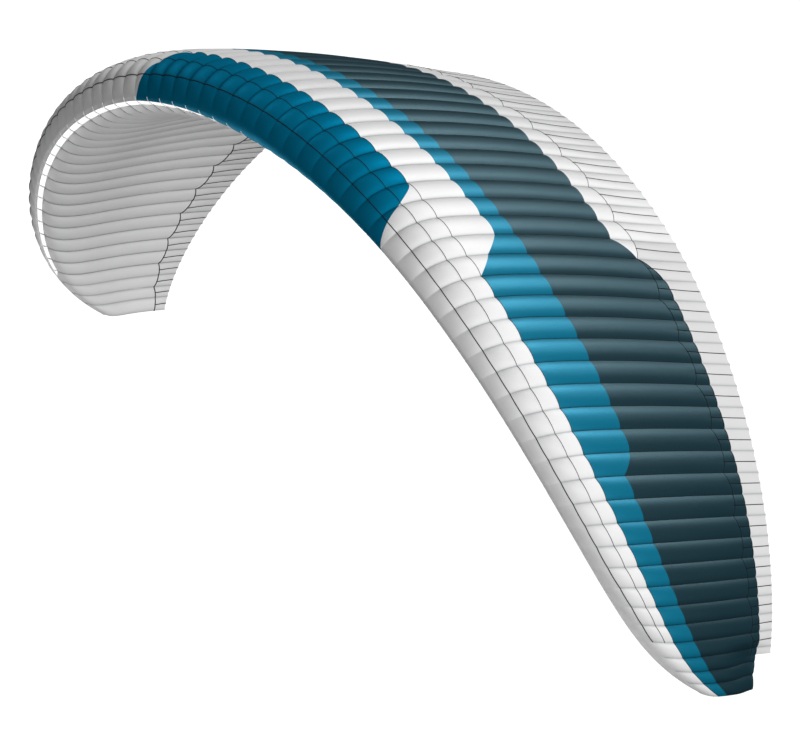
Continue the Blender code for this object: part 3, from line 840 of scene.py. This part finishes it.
UPPER_START, UPPER_STOP = 0.896, 0.9955
LOWER_START, LOWER_STOP = 0.912, 0.9955
FIRST_STRIP_RIB = 3
sewn = {
    "rib_seams_nose": (rib_lines(PATCH_SHOULDER + 1, CELLS - PATCH_SHOULDER, second_line, NOSE, 10),
                       0.0010, DARK_THREAD),
    "rib_seams_dark": (rib_lines(1, CELLS, BAND, SLATE, 40), 0.0013, DARK_THREAD),
    "rib_seams_lower": (rib_lines(FIRST_MOUTH, CELLS - 3, lower_end, lip_edge, 50),
                        0.0016, GREY_THREAD),
    "nose_tape": ([along_span(FIRST_MOUTH, LAST_MOUTH, tape_line)], 0.0038, DARK_THREAD),
    "nose_thread": ([along_span(FIRST_MOUTH, LAST_MOUTH, second_line)], 0.0024, DARK_THREAD),
    "nose_seam": ([along_span(0, CELLS, NOSE)], 0.0022, DARK_THREAD),
    "strip_seam": ([along_span(2, CELLS - 2, strip_line)], 0.0022, DARK_THREAD),
    "slate_edge": ([along_span(SHORT_TIP, AFT_CORNER, SLATE),
                    along_span(CELLS - AFT_CORNER, CELLS, SLATE)], 0.0030, DARK_THREAD),
    "lower_edge": ([along_span(FIRST_STRIP_RIB + 1, CELLS, lower_seam)], 0.0050, DARK_THREAD),
    "mini_ribs_upper": (mini_rib_lines(UPPER_START, UPPER_STOP, FIRST_STRIP_RIB),
                        0.0032, DARK_THREAD),
    "mini_ribs_lower": (mini_rib_lines(-LOWER_STOP, -LOWER_START, FIRST_STRIP_RIB + 1),
                        0.0042, DARK_THREAD),
}
for name, (guides, half, finish) in sewn.items():
    piece = run_tree(name, THREAD_TREE, guides,
                     {"Half Width": half, "Sides": 5, "Finish": finish})

# rods that hold the ribs' noses open: over the nose panels in the far half, where they show
# as short ticks, and inside the cloth elsewhere
ROD_HALF = 0.0015
ROD_REACH = 0.045         # how far a rod runs on past either edge, as wrap
ROD_UNDER, ROD_OVER = -0.0040, 0.0014
rods = []
for rib in range(FIRST_MOUTH, LAST_MOUTH + 1):
    nose, lip = float(nose_edge(rib)), float(lip_edge(rib))
    lift = ROD_OVER if rib > CELLS / 2 else ROD_UNDER
    rods.append(along_rib(rib, nose - ROD_REACH / 3, nose + ROD_REACH, 8, lift))
    rods.append(along_rib(rib, lip - ROD_REACH, lip + ROD_REACH / 3, 8, ROD_UNDER))
# the rods take the ribs' cloth with its painted light
piece = run_tree("nose_rods", THREAD_TREE, rods, {"Half Width": ROD_HALF, "Sides": 6,
                                                  "Finish": CLOTHS["rib"]})


# ---- floor, light and camera ----
FLOOR_GLOW = 0.40         # makes the floor as white as a studio's paper
SUN_SOFTNESS = 25.0       # degrees across


def set_up_floor():
    size, drop = 1500.0, 45.0
    mesh = bpy.data.meshes.new("floor")
    mesh.from_pydata([(-size, -size, -drop), (size, -size, -drop), (size, size, -drop),
                      (-size, size, -drop)], [], [(0, 1, 2, 3)])
    floor = bpy.data.objects.new("floor", mesh)
    bpy.context.scene.collection.objects.link(floor)
    paint = bpy.data.materials.new("pale_floor")
    paint.use_nodes = True
    shader = paint.node_tree.nodes["Principled BSDF"]
    shader.inputs["Base Color"].default_value = (0.97, 0.97, 0.97, 1.0)
    shader.inputs["Roughness"].default_value = 0.95
    shader.inputs["Specular IOR Level"].default_value = 0.0
    shader.inputs["Emission Color"].default_value = (1.0, 1.0, 1.0, 1.0)
    shader.inputs["Emission Strength"].default_value = FLOOR_GLOW
    mesh.materials.append(paint)
    floor.visible_diffuse = False
    floor.visible_glossy = False
    floor.visible_shadow = False


def sun(name, towards, strength):
    lamp = bpy.data.lights.new(name, "SUN")
    lamp.energy = strength
    lamp.angle = math.radians(SUN_SOFTNESS)
    thing = bpy.data.objects.new(name, lamp)
    thing.rotation_euler = Vector(towards).to_track_quat("Z", "Y").to_euler()
    bpy.context.scene.collection.objects.link(thing)
    return thing


set_up_floor()
sun("back_light", (0.04, 0.57, 0.82), 1.78)
sun("front_light", (0.88, -0.47, 0.01), 1.66)
sun("side_light", (0.99, 0.13, 0.02), 0.93)
sun("high_light", (0.67, -0.30, 0.68), 0.49)
sun("low_light", (-0.64, 0.17, -0.75), 0.87)
sun("far_light", (-0.88, -0.12, 0.45), 0.70)
world = bpy.data.worlds.new("studio")
world.use_nodes = True
world.node_tree.nodes["Background"].inputs["Color"].default_value = (0.96, 0.98, 1.0, 1.0)
world.node_tree.nodes["Background"].inputs["Strength"].default_value = 0.055
world.cycles_visibility.glossy = False
bpy.context.scene.world = world
bpy.context.scene.view_settings.view_transform = "Standard"

VIEW_FROM = np.array((50.30, -51.04, 22.15))   # metres from the arch's own zero
YAW, PITCH, ROLL = -0.7567, -0.3194, 0.2679    # radians
PICTURE_WIDTH = 800                            # pixels, as are the next three
FOCAL_LENGTH, OFF_X, OFF_Y = 10400.8, 6.3167, 3.3406
SENSOR_WIDTH = 36.0                            # millimetres


def set_up_camera():
    ahead = Vector((math.sin(YAW) * math.cos(PITCH), math.cos(YAW) * math.cos(PITCH),
                    math.sin(PITCH)))
    level = Vector((math.cos(YAW), -math.sin(YAW), 0.0))
    above = level.cross(ahead)
    right = math.cos(ROLL) * level + math.sin(ROLL) * above
    up = -math.sin(ROLL) * level + math.cos(ROLL) * above
    lens = bpy.data.cameras.new("camera")
    lens.sensor_width = SENSOR_WIDTH
    lens.lens = FOCAL_LENGTH / PICTURE_WIDTH * SENSOR_WIDTH
    lens.shift_x = -OFF_X / PICTURE_WIDTH
    lens.shift_y = OFF_Y / PICTURE_WIDTH
    lens.clip_start = 1.0
    lens.clip_end = 4000.0
    camera = bpy.data.objects.new("camera", lens)
    turn = Matrix((right, up, -ahead)).transposed().to_4x4()
    turn.translation = Vector(VIEW_FROM - ORIGIN)
    camera.matrix_world = turn
    bpy.context.scene.collection.objects.link(camera)
    bpy.context.scene.camera = camera


set_up_camera()
